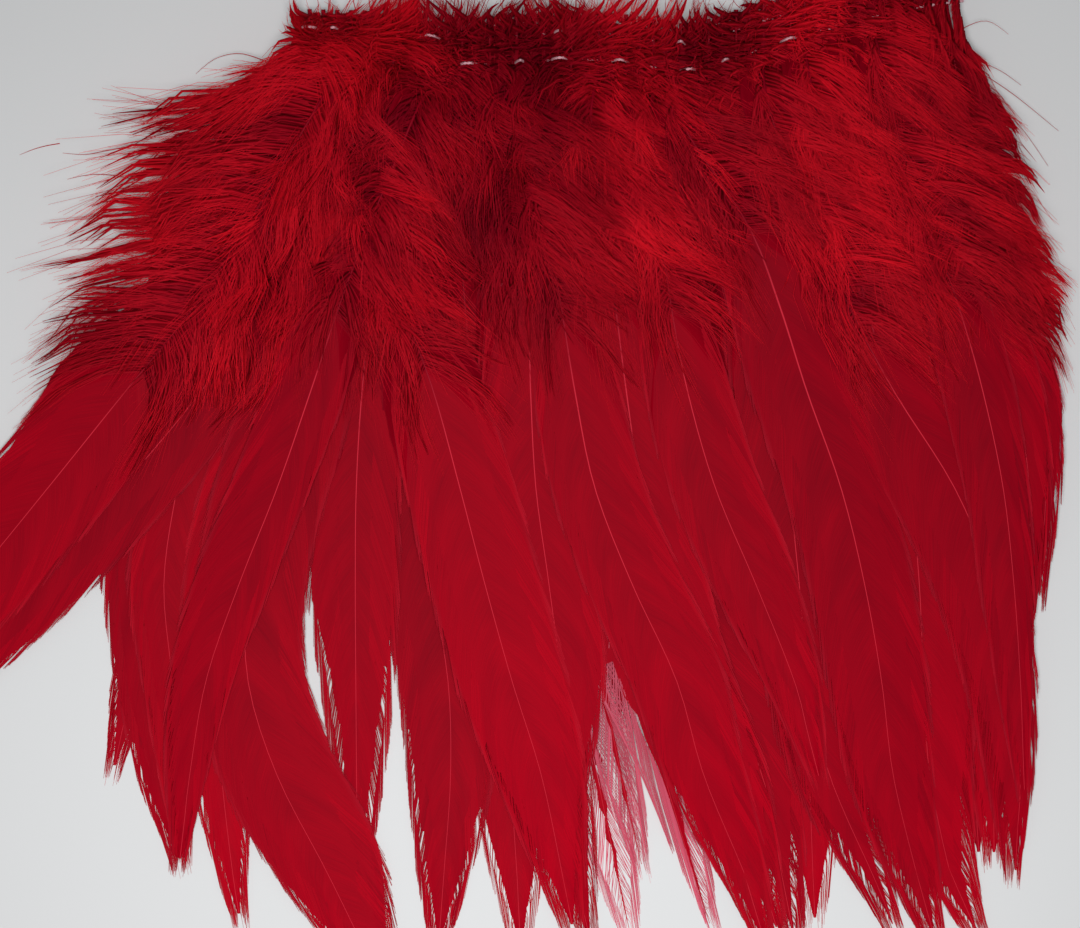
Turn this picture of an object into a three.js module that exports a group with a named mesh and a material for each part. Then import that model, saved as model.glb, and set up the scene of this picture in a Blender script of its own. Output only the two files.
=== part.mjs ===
// Strung rooster saddle hackle, dyed red, lying flat. A strip of natural feathers is
// held side by side at the quills by two rows of lockstitch in white cotton thread.
// Millimetres, +Z up. The quills run along X at the +Y end and the tips point to -Y.
import * as THREE from 'three';

// Driving dimensions
const FEATHERS = 48;
const STRUNG_LENGTH = 110;
const STRIP_LEFT = -39.5;
const QUILL_HEIGHT = 1.0;
const QUILL_HALF_WIDTH = 0.5;
const QUILL_LEVEL = 4.6;
const QUILL_END_ABOVE_SEAM = 3.5;
const SEAM_SPACING = 4.5;
const THREAD_DIAMETER = 0.5;
const THREAD_CLEARANCE = 0.12;
const QUILLS_PER_STITCH = 2;
const THREAD_SIDES = 5;
// The shares of a stitch's length at which its thread is down, up, up and down again.
const STITCH_SHAPE = [0, 0.09, 0.91, 1];
const LOCK_RISE = 0.8;
const DOWN_HEIGHT = 0.56;
const SHAFT_HEIGHT = 0.36;
const SHAFT_HALF_WIDTH = 0.3;
const RIDGE_SHARE = 0.6;
const QUILL_EDGE_SHARE = 0.55;
const TIP_HEIGHT = 0.2;
const DOWN_EDGE = 0.36;
const VANE_EDGE = 0.12;
const RESTING_GAP = 0.2;
const VANE_TAPER = 46;
const TAPER_SHAPE = 1.8;
const LEAST_HALF_WIDTH = 0.3;
const DOWN_ENDS_AT = 22;
const VANE_STARTS_AT = 6;
const LOWER_VANE_BLEND = 16;

// The seam waves a little and climbs at the right end of the strip.
const SEAM_LINE = new THREE.SplineCurve([
  new THREE.Vector2(-46, 72.5), new THREE.Vector2(-38, 72.2), new THREE.Vector2(-24, 71.8),
  new THREE.Vector2(-17, 70.8), new THREE.Vector2(-6, 71.2), new THREE.Vector2(4, 71.8),
  new THREE.Vector2(14, 71.4), new THREE.Vector2(24, 69.9), new THREE.Vector2(31, 71.6),
  new THREE.Vector2(38, 74), new THREE.Vector2(50, 77.5), new THREE.Vector2(60, 80),
  new THREE.Vector2(70, 81.6), new THREE.Vector2(77, 82.2),
]);

// Cross-sections of every feather stand on these lines of constant Y.
const STATIONS = [65, 52, 39, 26, 12, -4, -20, -36, -52, -68, -90];
const STITCHED_LENGTH = SEAM_SPACING + 1.6;
const SPREAD_LENGTH = 6;
const FIRST_STEP = 4;
const LEAST_STEP = 2;
const NEAR_TIP = 7;
const LIMP_TIP = 12;

// The quills stand upright at the stitches and lean outwards below them.
const UPRIGHT_QUILL = 10;
const LEAN_LEFT = -5.5;
const LEAN_RIGHT = 4;
const LEAN_LINE = 56;

// How finely the curves and the overlaps are looked at.
const SEAM_SAMPLES = 400;
const SHAFT_SAMPLES = 300;
const SLOPE_STEP = 2;
const OVERLAP_SAMPLES = 8;
const BRIDGING_PASSES = 3;

// One row for each feather, in its order along the seam. path is the shaft below the
// stitched part and ends at the tip. rank says which feathers lie on which: a higher rank
// lies on a lower one. vane and down are the half widths, left and right of the shaft.
// low gives a vane that is worn or uneven other half widths around and below its Y.
const ROWS = [
  { rank: 1, vane: [6, 8], down: [18, 9], path: [[-58, 28], [-67, -6], [-67, -20], [-65, -46], [-60.7, -66]] },
  { rank: 3, vane: [6, 7], down: [14, 8], path: [[-53, 27], [-62.5, -15], [-61.2, -40], [-60, -64]] },
  { rank: 6, vane: [7.5, 7.5], down: [13, 9], path: [[-56, 28], [-75, 5], [-90, -14], [-107, -33], [-121, -51]] },
  { rank: 4, vane: [6.5, 6], down: [9, 9], path: [[-47, 26], [-67.5, -1], [-90, -25], [-118, -54]] },
  { rank: 2, vane: [7, 7], down: [9, 9], path: [[-46, 26], [-51.7, 8], [-54.5, -19], [-56, -42]] },
  { rank: 7, vane: [9, 9], down: [8.5, 8.5], path: [[-23, 27], [-17, 10], [-12, -9], [-6, -31.7], [0.5, -53], [5.3, -77]] },
  { rank: 0, vane: [6, 6], down: [8.5, 8.5], path: [[-41, 26], [-58, -6], [-67, -32], [-71.3, -50.5]] },
  { rank: 3, vane: [6.5, 6.5], down: [8.5, 8.5], path: [[-34, 26], [-47.5, 2], [-53.7, -26], [-53, -56], [-50.3, -75.3]] },
  { rank: 5, vane: [8.5, 9.5], low: [-50, 9.5, 16], down: [8.5, 8.5], path: [[-33, 27], [-43, 4], [-49, -22], [-47.8, -42], [-42, -56], [-38, -64], [-32, -75], [-26, -88]] },
  { rank: 7, vane: [7, 4.6], down: [8.5, 8], path: [[-31, 32], [-40.3, 5.2], [-47, -13], [-52.5, -26], [-57, -42], [-60.2, -66]] },
  { rank: 4, vane: [8.5, 7.5], low: [-34, 4.2, 6], down: [8.5, 8.5], path: [[-27.7, 27], [-30.6, -3], [-30.8, -28], [-30.7, -55], [-30.5, -73]] },
  { rank: 2, vane: [8.5, 8.5], down: [8.5, 8.5], path: [[-23, 26], [-22.5, 2], [-16.8, -27.7], [-14.8, -46.5], [-17, -80]] },
  { rank: 1, vane: [8, 8], down: [8.5, 8.5], path: [[-12.5, 26], [-8.3, -20], [-4.7, -56], [-3.3, -81]] },
  { rank: 5, vane: [8, 8], low: [-44, 2, 7], down: [8.5, 8.5], path: [[-2.5, 26], [2.6, 8.5], [8, -7.5], [14.7, -30.3], [23, -60], [28.5, -77]] },
  { rank: 0, vane: [8, 8], down: [8.5, 8.5], path: [[-14, 26], [-18, -6], [-19, -30], [-19.2, -49]] },
  { rank: 6, vane: [8.5, 8.5], down: [8.5, 8.5], path: [[-2, 26], [-1.5, 10.5], [-0.2, -9.5], [2.5, -26.3], [3.3, -39], [1.7, -67.7]] },
  { rank: 3, vane: [7.5, 7.5], down: [8.5, 8.5], path: [[-3.3, 26], [-1.7, -20], [3.3, -56], [8.3, -79]] },
  { rank: 7, vane: [7, 8], down: [8.5, 8.5], path: [[3.5, 26], [8.3, -1], [14.3, -17.7], [22, -34], [28, -54], [34, -68], [37.5, -79.5]] },
  { rank: 4, vane: [6, 6], down: [8.5, 8.5], path: [[0.5, 26], [1.5, -6], [8.7, -29.7], [13.5, -52], [17, -67]] },
  { rank: 0, vane: [8, 8], down: [8.5, 8.5], path: [[4, 26], [5, -20], [9, -49], [15, -78]] },
  { rank: 2, vane: [8, 8], down: [8.5, 8.5], path: [[12, 26], [15, -6], [18.5, -31], [20, -47]] },
  { rank: 5, vane: [8, 8], down: [8.5, 8.5], path: [[12.5, 26], [17, -6], [23.5, -34.5], [32, -54], [39.5, -77.5]] },
  { rank: 1, vane: [7.5, 7.5], down: [8.5, 8.5], path: [[5, 26], [1, -6], [0, -36], [0.8, -54]] },
  { rank: 3, vane: [8, 8], down: [8.5, 8.5], path: [[17.5, 26], [23.3, -6], [29.5, -33.8], [37.3, -52.5], [40.5, -69], [42.5, -79]] },
  { rank: 0, vane: [7.5, 7.5], down: [8.5, 8.5], path: [[13.5, 26], [11.7, -6], [12.5, -28], [13.5, -42]] },
  { rank: 6, vane: [7, 7], down: [8.5, 8.5], path: [[21.7, 26], [27.5, 0.7], [35.8, -19.8], [43, -38], [46.5, -52]] },
  { rank: 1, vane: [8, 8], down: [8.5, 8.5], path: [[18.5, 26], [21, -6], [26, -36], [31, -58]] },
  { rank: 7, vane: [9, 8], down: [8.5, 8.5], path: [[35, 38], [43.5, 13.7], [51.3, -8.8], [56.5, -34], [59.5, -55], [66, -79]] },
  { rank: 0, vane: [8, 8], down: [8.5, 8.5], path: [[26.7, 26], [31.7, -6], [35.8, -39.3], [38, -64]] },
  { rank: 5, vane: [7.5, 7], down: [8.5, 8.5], path: [[36.7, 26], [40.5, 3], [43.2, -20.5], [45, -38], [48, -51], [53, -62], [59, -77]] },
  { rank: 2, vane: [8, 8], down: [8.5, 8.5], path: [[33.3, 26], [38.3, -6], [44, -39.3], [46, -76]] },
  { rank: 1, vane: [8, 8], down: [8.5, 8.5], path: [[41.7, 26], [48, -6], [51.5, -39.3], [53, -66]] },
  { rank: 4, vane: [7, 7], down: [8.5, 8.5], path: [[40.5, 26], [46.7, -6], [50, -34], [53, -60]] },
  { rank: 6, vane: [9.5, 6], low: [-20, 9, 3.5], down: [8.5, 8.5], path: [[51, 26], [57.5, 13.7], [68, -2.5], [76.6, -23.7], [80, -45], [79.6, -68]] },
  { rank: 3, vane: [8, 8], down: [8.5, 8.5], path: [[46.7, 26], [54, -6], [58, -39.3], [62, -70]] },
  { rank: 0, vane: [7.5, 7.5], down: [8.5, 8.5], path: [[43.3, 26], [43.3, -6], [41.5, -30], [40, -45]] },
  { rank: 5, vane: [9, 9], down: [8.5, 8.5], path: [[54, 26], [61.7, -6], [64.2, -40], [66.5, -62], [73.2, -78]] },
  { rank: 2, vane: [8, 8], down: [8.5, 8.5], path: [[50, 26], [57, -6], [63, -39.3], [66, -73]] },
  { rank: 1, vane: [8, 8], down: [8.5, 8.5], path: [[58, 26], [67, -6], [71.5, -39.3], [73.5, -65]] },
  { rank: 4, vane: [7.5, 7.5], down: [8.5, 8.5], path: [[62, 26], [71, -6], [75, -31], [76, -65]] },
  { rank: 0, vane: [7.5, 7.5], down: [8.5, 8.5], path: [[59, 26], [63, -6], [65, -30], [66, -48]] },
  { rank: 6, vane: [6, 4], low: [-20, 6, 2.8], down: [8.5, 8.5], path: [[69, 26], [76, 0], [79.3, -27], [80.8, -54.3]] },
  { rank: 2, vane: [6.5, 5], down: [8.5, 9], path: [[67, 26], [73, 2], [76, -20], [77, -44]] },
  { rank: 3, vane: [7, 6], down: [8.5, 9], path: [[67.5, 26], [71, -6], [71.5, -33]] },
  { rank: 0, vane: [6.5, 4.5], down: [9, 8], path: [[73, 28], [78.5, 6], [80.5, -16], [80, -36]] },
  { rank: 5, vane: [6.5, 4.5], down: [9, 7.5], path: [[74, 28], [79.5, 8], [81.5, -9], [80.5, -29]] },
  { rank: 3, vane: [6.5, 4], down: [9, 7], path: [[76.5, 30], [82, 14], [84, 0], [83.5, -22]] },
  { rank: 1, vane: [6, 4.5], down: [9, 7], path: [[78, 34], [82.5, 18], [84.5, 4], [83, -16]] },
];

const quillX = (index) => STRIP_LEFT + (STRUNG_LENGTH * (index + 0.5)) / FEATHERS;

// Height of a smooth curve of plane points above a given X.
const SEAM_POINTS = SEAM_LINE.getPoints(SEAM_SAMPLES);
function seamY(x) {
  const after = SEAM_POINTS.findIndex((point) => point.x >= x);
  const [a, b] = [SEAM_POINTS[after - 1], SEAM_POINTS[after]];
  return a.y + ((b.y - a.y) * (x - a.x)) / (b.x - a.x);
}

// The shaft seen from above, as X for a given Y. Past the tip it goes straight on.
function makeShaft(index, row) {
  const x = quillX(index);
  const lean = LEAN_LEFT + ((LEAN_RIGHT - LEAN_LEFT) * index) / (FEATHERS - 1);
  const top = seamY(x) + QUILL_END_ABOVE_SEAM;
  const upright = [0, 0.5, 1].map((share) => [x, top - UPRIGHT_QUILL * share]);
  const knots = [...upright, [x + lean, LEAN_LINE], ...row.path];
  const curve = new THREE.SplineCurve(knots.map((knot) => new THREE.Vector2(...knot)));
  const points = curve.getPoints(SHAFT_SAMPLES);
  return (y) => {
    const found = points.findIndex((point) => point.y <= y);
    const after = found < 0 ? points.length - 1 : Math.max(1, found);
    const [a, b] = [points[after - 1], points[after]];
    return a.x + ((b.x - a.x) * (y - a.y)) / (b.y - a.y);
  };
}

// Half width of the feather on one side: down, then a vane that tapers to the tip.
function halfWidth(row, side, y, slope) {
  const tipY = row.path.at(-1)[1];
  const [lowY, ...low] = row.low ?? [tipY, ...row.vane];
  const lowPart = THREE.MathUtils.smoothstep(lowY - y, -LOWER_VANE_BLEND / 2, LOWER_VANE_BLEND / 2);
  const vane = THREE.MathUtils.lerp(row.vane[side], low[side], lowPart);
  const vanePart = THREE.MathUtils.smoothstep(DOWN_ENDS_AT - y, 0, DOWN_ENDS_AT - VANE_STARTS_AT);
  const full = THREE.MathUtils.lerp(row.down[side], vane, vanePart);
  const taper = 1 - (1 - Math.min((y - tipY) / VANE_TAPER, 1)) ** TAPER_SHAPE;
  return Math.max(full * taper * Math.hypot(1, slope), LEAST_HALF_WIDTH);
}

// Height of the feather at its shaft, and at its edges, on each station.
function bodyHeight(y, tipY) {
  if (y > DOWN_ENDS_AT) return DOWN_HEIGHT;
  const along = THREE.MathUtils.clamp((y - tipY) / (DOWN_ENDS_AT - tipY), 0, 1);
  return THREE.MathUtils.lerp(TIP_HEIGHT, SHAFT_HEIGHT, along);
}

// A feather before it is laid down: its sections at the stations, with no height yet.
function makeFeather(row, index) {
  const shaft = makeShaft(index, row);
  const tipY = row.path.at(-1)[1];
  const quillEnd = seamY(quillX(index)) + QUILL_END_ABOVE_SEAM;
  const stitchedEnd = quillEnd - QUILL_END_ABOVE_SEAM - STITCHED_LENGTH;
  const spreadEnd = stitchedEnd - SPREAD_LENGTH;
  const first = STATIONS.findIndex((y) => y <= spreadEnd - FIRST_STEP);
  const widthAt = (side, y) => {
    const slope = (shaft(y + SLOPE_STEP) - shaft(y - SLOPE_STEP)) / (2 * SLOPE_STEP);
    return halfWidth(row, side, y, slope);
  };
  return {
    index, rank: row.rank, shaft, tipY, quillEnd, stitchedEnd, spreadEnd, first, widthAt,
    x: STATIONS.map(shaft),
    height: STATIONS.map((y) => bodyHeight(y, tipY)),
    z: STATIONS.map(() => 0),
  };
}

// Straight-line value between the stations.
function between(values, y) {
  const after = Math.max(1, STATIONS.findIndex((station) => station <= y));
  const share = (STATIONS[after - 1] - y) / (STATIONS[after - 1] - STATIONS[after]);
  return THREE.MathUtils.lerp(values[after - 1], values[after], THREE.MathUtils.clamp(share, 0, 1));
}

// Left and right edge of a feather on one line of constant Y, or null where it has no vane.
function spanAt(feather, y) {
  if (y > feather.spreadEnd || y < feather.tipY) return null;
  const wide = STATIONS[feather.first];
  const centre = y > wide
    ? THREE.MathUtils.lerp(feather.shaft(feather.spreadEnd), feather.x[feather.first],
      (feather.spreadEnd - y) / (feather.spreadEnd - wide))
    : between(feather.x, y);
  const open = y > wide ? (feather.spreadEnd - y) / (feather.spreadEnd - wide) : 1;
  const half = [0, 1].map((side) => {
    const full = feather.widthAt(side, Math.min(y, wide));
    return THREE.MathUtils.lerp(QUILL_HALF_WIDTH, full, open);
  });
  return [centre - half[0], centre + half[1]];
}

function touch(a, b, y) {
  const [spanA, spanB] = [spanAt(a, y), spanAt(b, y)];
  return spanA !== null && spanB !== null
    && spanA[0] < spanB[1] + RESTING_GAP && spanB[0] < spanA[1] + RESTING_GAP;
}

// Each feather is laid on the ones that already lie under it, station by station.
function layDown(feather, laid) {
  for (let segment = 0; segment < STATIONS.length - 1; segment += 1) {
    for (const under of laid) {
      let overlaps = false;
      for (let k = 0; k <= OVERLAP_SAMPLES; k += 1) {
        const share = k / OVERLAP_SAMPLES;
        const y = THREE.MathUtils.lerp(STATIONS[segment], STATIONS[segment + 1], share);
        overlaps ||= touch(feather, under, y);
      }
      for (const station of overlaps ? [segment, segment + 1] : []) {
        const top = under.z[station] + under.height[station] + RESTING_GAP;
        feather.z[station] = Math.max(feather.z[station], top);
      }
    }
  }
  // A shaft is stiff, so it bridges hollows, but its tip comes down.
  const stiff = STATIONS.filter((y) => y > feather.tipY + LIMP_TIP).length;
  for (let pass = 0; pass < BRIDGING_PASSES; pass += 1) {
    for (let s = 1; s < stiff; s += 1) {
      feather.z[s] = Math.max(feather.z[s], (feather.z[s - 1] + feather.z[s + 1]) / 2);
    }
  }
  const start = Math.max(...feather.z.slice(0, feather.first + 1));
  feather.z.fill(start, 0, feather.first + 1);
}

// One closed section: flat underside, thin edges and the shaft as a ridge on top.
function section(x, y, z, left, right, height, edge) {
  const ridge = Math.min(SHAFT_HALF_WIDTH, left * RIDGE_SHARE, right * RIDGE_SHARE);
  return [
    [x - left, y, z], [x + right, y, z], [x + right, y, z + edge],
    [x + ridge, y, z + height], [x - ridge, y, z + height], [x - left, y, z + edge],
  ];
}

// A closed solid through sections that have the same number of points.
function loft(sections) {
  const count = sections[0].length;
  const indices = [];
  for (let ring = 0; ring < sections.length - 1; ring += 1) {
    for (let k = 0; k < count; k += 1) {
      const [a, b] = [ring * count + k, ring * count + ((k + 1) % count)];
      indices.push(a, b, a + count, b, b + count, a + count);
    }
  }
  const last = (sections.length - 1) * count;
  for (let k = 1; k < count - 1; k += 1) {
    indices.push(0, k + 1, k);
    indices.push(last, last + k, last + k + 1);
  }
  const geometry = new THREE.BufferGeometry();
  geometry.setAttribute('position', new THREE.Float32BufferAttribute(sections.flat(2), 3));
  geometry.setIndex(indices);
  geometry.computeVertexNormals();
  return geometry;
}

function featherGeometry(feather) {
  const { shaft, tipY, quillEnd, stitchedEnd, spreadEnd, first, x, z, height, widthAt } = feather;
  const quillZ = QUILL_LEVEL - QUILL_HEIGHT / 2;
  const quillEdge = QUILL_HEIGHT * QUILL_EDGE_SHARE;
  const rings = [quillEnd, stitchedEnd].map((y) => section(
    shaft(y), y, quillZ, QUILL_HALF_WIDTH, QUILL_HALF_WIDTH, QUILL_HEIGHT, quillEdge,
  ));
  rings.push(section(
    shaft(spreadEnd), spreadEnd, z[first], QUILL_HALF_WIDTH, QUILL_HALF_WIDTH, DOWN_HEIGHT, DOWN_EDGE,
  ));
  const blade = (y) => {
    const edge = y > DOWN_ENDS_AT ? DOWN_EDGE : VANE_EDGE;
    rings.push(section(
      between(x, y), y, between(z, y), widthAt(0, y), widthAt(1, y), between(height, y), edge,
    ));
  };
  STATIONS.filter((y, s) => s >= first && y > tipY + NEAR_TIP + LEAST_STEP).forEach(blade);
  blade(tipY + NEAR_TIP);
  blade(tipY);
  return loft(rings);
}

// A sewing thread runs straight over its quills and dips between them at each lock.
class SewnThread extends THREE.Curve {
  constructor(seamOffset, side) {
    super();
    this.seamOffset = seamOffset;
    this.side = side;
    this.stitches = FEATHERS / QUILLS_PER_STITCH;
  }

  getPoint(t, target = new THREE.Vector3()) {
    const steps = STITCH_SHAPE.length - 1;
    const step = Math.round(t * this.stitches * steps);
    const stitch = Math.floor(step / steps);
    const share = STITCH_SHAPE[step % steps];
    const x = STRIP_LEFT + ((stitch + share) * STRUNG_LENGTH) / this.stitches;
    const over = (QUILL_HEIGHT + THREAD_DIAMETER) / 2 + THREAD_CLEARANCE;
    const rise = share === 0 ? THREAD_DIAMETER * LOCK_RISE : over;
    return target.set(x, seamY(x) + this.seamOffset, QUILL_LEVEL + this.side * rise);
  }

  getPointAt(u, target) {
    return this.getPoint(u, target);
  }

  getTangentAt(u, target = new THREE.Vector3()) {
    const step = 1 / ((STITCH_SHAPE.length - 1) * this.stitches);
    const [before, after] = [Math.max(0, u - step), Math.min(1, u + step)];
    return target.copy(this.getPoint(after)).sub(this.getPoint(before)).normalize();
  }
}

function threadGeometry(seamOffset, side) {
  const circle = new THREE.Shape();
  for (let k = 0; k < THREAD_SIDES; k += 1) {
    const angle = (2 * Math.PI * k) / THREAD_SIDES;
    const point = [Math.cos(angle), Math.sin(angle)].map((value) => (value * THREAD_DIAMETER) / 2);
    if (k === 0) circle.moveTo(...point);
    else circle.lineTo(...point);
  }
  circle.closePath();
  const path = new SewnThread(seamOffset, side);
  const steps = path.stitches * (STITCH_SHAPE.length - 1);
  return new THREE.ExtrudeGeometry(circle, { steps, extrudePath: path });
}

const strip = new THREE.Group();

const laid = [];
const feathers = ROWS.map(makeFeather);
const order = [...feathers].sort((a, b) => a.rank - b.rank || a.index - b.index);
for (const feather of order) {
  layDown(feather, laid);
  laid.push(feather);
}

const dyedKeratin = new THREE.MeshStandardMaterial({ color: 0x98071b, roughness: 0.55, metalness: 0 });
for (const feather of feathers) {
  const mesh = new THREE.Mesh(featherGeometry(feather), dyedKeratin);
  mesh.name = `feather_${String(feather.index + 1).padStart(2, '0')}`;
  strip.add(mesh);
}

const whiteCotton = new THREE.MeshStandardMaterial({ color: 0xeee6e4, roughness: 0.8, metalness: 0 });
const SEAMS = [['upper_seam', 0], ['lower_seam', -SEAM_SPACING]];
for (const [seam, offset] of SEAMS) {
  for (const [thread, side] of [['needle_thread', 1], ['bobbin_thread', -1]]) {
    const mesh = new THREE.Mesh(threadGeometry(offset, side), whiteCotton);
    mesh.name = `${seam}_${thread}`;
    strip.add(mesh);
  }
}

// The origin is the middle of the surface that the strip lies on.
const extent = new THREE.Box3().setFromObject(strip, true);
const middle = extent.getCenter(new THREE.Vector3());
strip.position.set(-middle.x, -middle.y, -extent.min.z);

const saddleHackle = new THREE.Group();
saddleHackle.add(strip);

export default saddleHackle;
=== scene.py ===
# A strung strip of rooster saddle hackle, dyed crimson and laid flat on white paper.
# Metres, +Z up. The quills run along X at the +Y end, and the tips point to -Y.
import random
import bpy
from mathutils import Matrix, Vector


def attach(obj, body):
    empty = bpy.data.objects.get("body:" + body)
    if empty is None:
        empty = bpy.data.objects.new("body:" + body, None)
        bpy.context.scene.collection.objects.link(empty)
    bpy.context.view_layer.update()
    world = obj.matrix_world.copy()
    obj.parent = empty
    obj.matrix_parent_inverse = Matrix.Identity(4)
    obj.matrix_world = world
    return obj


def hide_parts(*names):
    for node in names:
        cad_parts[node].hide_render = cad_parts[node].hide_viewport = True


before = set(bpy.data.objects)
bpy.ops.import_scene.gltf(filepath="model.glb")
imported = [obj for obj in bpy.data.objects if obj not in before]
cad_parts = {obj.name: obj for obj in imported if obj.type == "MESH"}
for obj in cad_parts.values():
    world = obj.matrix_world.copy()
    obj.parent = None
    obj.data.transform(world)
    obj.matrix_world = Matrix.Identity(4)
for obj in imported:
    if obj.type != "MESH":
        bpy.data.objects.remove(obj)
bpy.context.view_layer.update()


# The feathers
# Forty-eight saddle feathers of one bird, dyed crimson after plucking. Each grew as one
# piece of keratin: a bare quill, a shaft, loose downy barbs on its basal third, and below
# them barbs that hook together into a smooth web. They lie on each other as the CAD says.
MM = 0.001
FEATHERS = sorted(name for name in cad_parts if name.startswith("feather_"))
WEB_DYE_AND_LIGHT = "#c8001f"
WEB_DEEP_DYE_AND_SHADE = "#920019"
LIT_THROUGH_WEB = "#e8607c"
LIT_THROUGH_WEB_DEEP = "#b01838"
DOWN_DYE_AND_LIGHT = "#f2182e"
DOWN_DEEP_DYE_AND_SHADE = "#8a001b"
DYED_SHAFT = "#d42a3e"
DYED_SHADED_QUILL = "#860018"

QUILL_RADIUS = 0.4 * MM
SHAFT_TIP_RADIUS = 0.05 * MM
# Real barbs stand 0.3 mm apart, down is 0.02 mm thick and barbules are 0.03 mm apart. All
# three are drawn as much coarser as they need to be to show.
WEB_BARB_SPACING = 0.36 * MM
WEB_BARB_WIDTH = 0.18 * MM
DOWN_FIBRE_SPACING = 0.175 * MM
DOWN_FIBRE_WIDTH = 0.14 * MM
BARBULE_LINES = 0.11 * MM
# The web is a thin sheet, which starts under the down. DOWN_BASE is its half width there.
WEB_THICKNESS = 0.06 * MM
WEB_UNDER_DOWN = 14 * MM
DOWN_BASE = 4.5 * MM
# The down starts below the bare quill end, grows to its full length over the header, and
# blends into the web over the last stretch. DOWN_SURFACE is about how high the fluff stands.
DOWN_STARTS = 1.5 * MM
HEADER = 14 * MM
DOWN_INTO_WEB = 12 * MM
DOWN_TUFT = 2.3 * MM
DOWN_TUFT_WIDTH = 1.5 * MM
DOWN_SURFACE = 11 * MM
CLUMPS_PER_METRE = 90.0
PAPER_CLEARANCE = 0.1 * MM
# Near its tip a feather's barbs start closer to the shaft and get thinner.
TAPER_FROM = 35 * MM
TAPER_TO = 8 * MM
THINNER_FROM = 30 * MM
QUARTER_TURN = 1.5708
TRIANGLE_RADIUS = 0.577


def linear(hex_colour):
    """An sRGB hex colour as linear RGBA."""
    parts = [int(hex_colour[k:k + 2], 16) / 255 for k in (1, 3, 5)]
    return [p / 12.92 if p <= 0.04045 else ((p + 0.055) / 1.055) ** 2.4 for p in parts] + [1.0]


def add(tree, kind, *inputs, **settings):
    """Adds a node with its settings and links. A dict names its inputs, a list counts them."""
    node = tree.nodes.new(kind)
    for setting, value in settings.items():
        setattr(node, setting, value)
    given = inputs[0] if inputs and isinstance(inputs[0], dict) else dict(enumerate(inputs))
    for socket, value in given.items():
        if isinstance(value, bpy.types.Node):
            value = next(s for s in value.outputs if s.enabled)
        if isinstance(value, bpy.types.NodeSocket):
            tree.links.new(value, node.inputs[socket])
        elif value is not None:
            node.inputs[socket].default_value = value
    return node


def node_tree(name, inputs, outputs):
    """A Geometry Nodes tree with named inputs. Returns it, its inputs and their identifiers."""
    tree = bpy.data.node_groups.new(name, "GeometryNodeTree")
    identifiers = {}
    for label, kind, value in inputs:
        socket = tree.interface.new_socket(label, in_out="INPUT", socket_type="NodeSocket" + kind)
        if value is not None:
            socket.default_value = value
        identifiers[label] = socket.identifier
    for label, kind in outputs:
        tree.interface.new_socket(label, in_out="OUTPUT", socket_type="NodeSocket" + kind)
    return tree, add(tree, "NodeGroupInput").outputs, identifiers


# The way of one barb: it leaves the shaft at its root, bends towards the tip and ends at
# the feather's outline. V runs from 0 at the shaft to 1 at the outline, and Side is 1 on
# the left of the shaft and -1 on its right.
way, given, _ = node_tree("Way of a barb", (
    ("Shaft", "Geometry", None), ("Widths", "String", "half_widths"), ("Root", "Float", 0.0),
    ("Forward", "Float", 0.0), ("V", "Float", 0.0), ("Side", "Float", 1.0), ("Fill", "Float", 1.0),
    ("Flare", "Float", 0.0), ("Bow", "Float", 1.8), ("Droop", "Float", 0.0),
), (("Position", "Vector"), ("Tangent", "Vector")))
v_squared = add(way, "ShaderNodeMath", given["V"], given["V"], operation="MULTIPLY")
bend = add(way, "ShaderNodeMix", {"Factor": 0.3, 2: given["V"], 3: v_squared})
distance = add(way, "ShaderNodeMath", given["Forward"], bend, given["Root"], operation="MULTIPLY_ADD")
widths = add(way, "GeometryNodeInputNamedAttribute", given["Widths"], data_type="FLOAT_VECTOR")
on_shaft = add(
    way, "GeometryNodeSampleCurve",
    {"Curves": given["Shaft"], "Value": widths, "Length": distance},
    mode="LENGTH", data_type="FLOAT_VECTOR",
)
at_root = add(
    way, "GeometryNodeSampleCurve",
    {"Curves": given["Shaft"], "Value": widths, "Length": given["Root"]},
    mode="LENGTH", data_type="FLOAT_VECTOR",
)
flared = add(way, "ShaderNodeMix", {
    "Factor": given["Flare"], 4: on_shaft.outputs["Value"], 5: at_root.outputs["Value"],
}, data_type="VECTOR")
both_halves = add(way, "ShaderNodeSeparateXYZ", flared)
is_left = add(way, "ShaderNodeMath", given["Side"], 0.0, operation="GREATER_THAN")
half = add(way, "ShaderNodeMix", {
    "Factor": is_left, 2: both_halves.outputs["Y"], 3: both_halves.outputs["X"],
})
wide = add(way, "ShaderNodeMath", half, given["Fill"], operation="MULTIPLY")
back = add(way, "ShaderNodeMath", 1, given["V"], operation="SUBTRACT")
flare = add(way, "ShaderNodeMath", back, given["Bow"], operation="POWER")
spread = add(way, "ShaderNodeMath", 1, flare, operation="SUBTRACT")
out = add(way, "ShaderNodeMath", wide, spread, operation="MULTIPLY")
sideways = add(way, "ShaderNodeMath", out, given["Side"], operation="MULTIPLY")
spread_squared = add(way, "ShaderNodeMath", spread, spread, operation="MULTIPLY")
droop = add(way, "ShaderNodeMath", spread_squared, given["Droop"], operation="MULTIPLY")
drop = add(way, "ShaderNodeMath", droop, -1, operation="MULTIPLY")
length = add(way, "GeometryNodeCurveLength", given["Shaft"])
kept = add(way, "ShaderNodeClamp", distance, 0.0, length)
past_end = add(way, "ShaderNodeMath", distance, kept, operation="SUBTRACT")
beyond = add(
    way, "ShaderNodeVectorMath", {0: on_shaft.outputs["Tangent"], "Scale": past_end}, operation="SCALE",
)
across = add(
    way, "ShaderNodeVectorMath", on_shaft.outputs["Tangent"], (0, 0, 1), operation="CROSS_PRODUCT",
)
level = add(way, "ShaderNodeVectorMath", across, operation="NORMALIZE")
to_side = add(way, "ShaderNodeVectorMath", {0: level, "Scale": sideways}, operation="SCALE")
downwards = add(way, "ShaderNodeCombineXYZ", {"Z": drop})
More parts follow.
